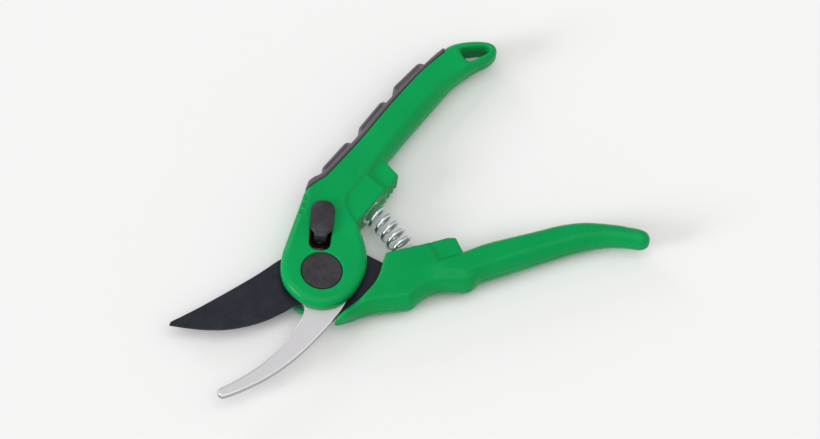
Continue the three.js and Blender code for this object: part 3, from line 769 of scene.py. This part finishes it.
def screw(name, node, body, x, y):
    """A screw with a low round head, a cross recess and a thread. Its head faces the back."""
    g = Grid((x - 3.4, y - 3.4, -0.2), (x + 3.4, y + 3.4, 12.8), 0.17)
    head = g.prism(g.disc(x, y, SCREW_HEAD_R), *SCREW_HEAD_Z, 0.5)
    shank = g.prism(g.disc(x, y, SCREW_R), 1.5, SCREW_END, 0.5)
    winding = g.z / SCREW_PITCH + np.arctan2(g.y - y, g.x - x) / (2 * math.pi)
    thread = 0.16 * np.abs(np.mod(winding, 1) - 0.5)
    shank = shank + thread * (g.z > 3.2)
    turn = math.radians(23 + 17 * (x % 3))
    u = (g.x - x) * math.cos(turn) + (g.y - y) * math.sin(turn)
    v = (g.y - y) * math.cos(turn) - (g.x - x) * math.sin(turn)
    arm = np.minimum(np.maximum(np.abs(u) - 1.55, np.abs(v) - 0.32),
                     np.maximum(np.abs(v) - 1.55, np.abs(u) - 0.32))
    drive = np.maximum(arm, g.z - 1.7 + 0.35 * np.hypot(u, v))
    whole = cut(join(head, shank, 0.3), drive, 0.15)
    place(skin(name, g, whole, 0.1), body, zinc_steel, node)


# ------------------------------------------------------------------ spring
def unit(vectors):
    """Each row at length 1."""
    return vectors / np.linalg.norm(vectors, axis=1)[:, None]


def spring():
    """A round wire wound round the bowed line between the two pockets, its end turns closed."""
    p0, p1, p2 = (np.array([*p, SPRING_Z]) for p in SPRING_PATH)
    steps = int(SPRING_TURNS * STEPS_PER_TURN)
    turn = np.linspace(0, SPRING_TURNS, steps + 1)
    pace = 0.34 + 0.66 * np.clip(np.minimum(turn, SPRING_TURNS - turn) - 0.5, 0, 1)
    t = np.concatenate([[0], np.cumsum((pace[1:] + pace[:-1]) / 2)])
    t = (t / t[-1])[:, None]
    centre = (1 - t) ** 2 * p0 + 2 * t * (1 - t) * p1 + t ** 2 * p2
    way = unit(2 * (1 - t) * (p1 - p0) + 2 * t * (p2 - p1))
    side = np.stack([-way[:, 1], way[:, 0], 0 * way[:, 0]], 1)
    up = np.array([0, 0, 1.0])
    angle = 2 * math.pi * turn[:, None]
    out = side * np.cos(angle) + up * np.sin(angle)
    line = centre + SPRING_R * out
    tangent = unit(np.gradient(line, axis=0))
    out = unit(out - (out * tangent).sum(1)[:, None] * tangent)
    across = np.cross(tangent, out)
    a = np.linspace(0, 2 * math.pi, WIRE_SIDES, endpoint=False)[:, None]
    rings = [line[i] + WIRE_R * (np.cos(a) * out[i] + np.sin(a) * across[i])
             for i in range(steps + 1)]
    faces = []
    for i in range(steps):
        here, there = i * WIRE_SIDES, (i + 1) * WIRE_SIDES
        for j in range(WIRE_SIDES):
            k = (j + 1) % WIRE_SIDES
            faces.append((here + j, here + k, there + k, there + j))
    faces.append(tuple(reversed(range(WIRE_SIDES))))
    faces.append(tuple(range(steps * WIRE_SIDES, (steps + 1) * WIRE_SIDES)))
    mesh = bpy.data.meshes.new("spring")
    mesh.from_pydata((np.concatenate(rings) * MM).tolist(), [], faces)
    mesh.validate()
    mesh.shade_smooth()
    item = add_object("spring", mesh)
    item.data.materials.append(spring_steel)
    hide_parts("return_spring")
    start, end = (Vector(point) * MM for point in SPRING_BLEND)
    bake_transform(item)
    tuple(start)
    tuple(end)


# ------------------------------------------------------------------ the whole tool
upper_handle()
grip()
lower_handle()
hook_plate()
blade_plate()
cap("front_cap", "front_pivot_cap", turned_over=False)
cap("rear_cap", "rear_pivot_cap", turned_over=True)
lock_knob()
retainer()
spring()
for side, body, spots in (("upper", "hook_side", UPPER_SCREWS), ("lower", "blade_side", LOWER_SCREWS)):
    for i, (x, y) in enumerate(spots, 1):
        screw(f"{side}_back_screw_{i}", f"{side}_screw_{i}", body, x, y)

# The CAD solids that still show are the pivot's steel pieces, the lock pin, the dowels and one
# nylon washer.
for name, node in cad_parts.items():
    if not node.hide_render:
        node.data.materials.clear()
        node.data.materials.append(black_nylon if name == "thrust_washer" else zinc_steel)


# ------------------------------------------------------------------ camera
back = Vector((math.sin(AZIMUTH) * math.cos(ELEVATION), -math.cos(AZIMUTH) * math.cos(ELEVATION),
               math.sin(ELEVATION)))
level = Vector((math.cos(AZIMUTH), math.sin(AZIMUTH), 0))
rise = back.cross(level)
right = level * math.cos(ROLL) + rise * math.sin(ROLL)
up = rise * math.cos(ROLL) - level * math.sin(ROLL)
aim = Vector((0, 0, THICK * MM)) + right * AIM_RIGHT + up * AIM_UP
lens = bpy.data.cameras.new("camera")
lens.lens, lens.sensor_width = 400, 36
lens.clip_start, lens.clip_end = 0.05, 40
camera = add_object("camera", lens)
camera.matrix_world = Matrix.Translation(aim + back * CAMERA_DISTANCE) @ Matrix(
    (right, up, back)).transposed().to_4x4()
bpy.context.scene.camera = camera


# ------------------------------------------------------------------ floor and light
bpy.ops.mesh.primitive_plane_add(size=40, location=(0, 0, -0.0002))
floor = bpy.context.object
floor.name = "floor"
*_, wire, _ = shade_tree("pale_floor")
floor.data.materials.append(wire(Base_Color=(0.8, 0.8, 0.8, 1), Roughness=0.9,
                                 Specular_IOR_Level=0.0))


def soft_light(name, way, spread, strength, tint):
    """A broad far light, from a direction given in the camera's own axes."""
    light = bpy.data.lights.new(name, "SUN")
    light.angle, light.energy, light.color = math.radians(spread), strength, tint
    item = add_object(name, light)
    direction = (right * way[0] + up * way[1] + back * way[2]).normalized()
    item.rotation_euler = direction.to_track_quat("Z", "Y").to_euler()


WHITE = (1, 1, 1)
soft_light("key", (-0.9, -0.15, 0.6), spread=20, strength=1.6, tint=WHITE)
soft_light("top", (0.0, 0.25, 0.97), spread=66, strength=1.2, tint=WHITE)
soft_light("side", (0.95, 0.25, 0.42), spread=60, strength=0.4, tint=(1.0, 0.95, 0.85))
soft_light("rim", (-0.55, 0.83, 0.04), spread=18, strength=0.35, tint=WHITE)

world = bpy.data.worlds.new("studio")
world.use_nodes = True
sky = world.node_tree.nodes["Background"]
sky.inputs["Color"].default_value = (*WHITE, 1)
sky.inputs["Strength"].default_value = 0.49
bpy.context.scene.world = world
bpy.context.scene.view_settings.view_transform = "Standard"
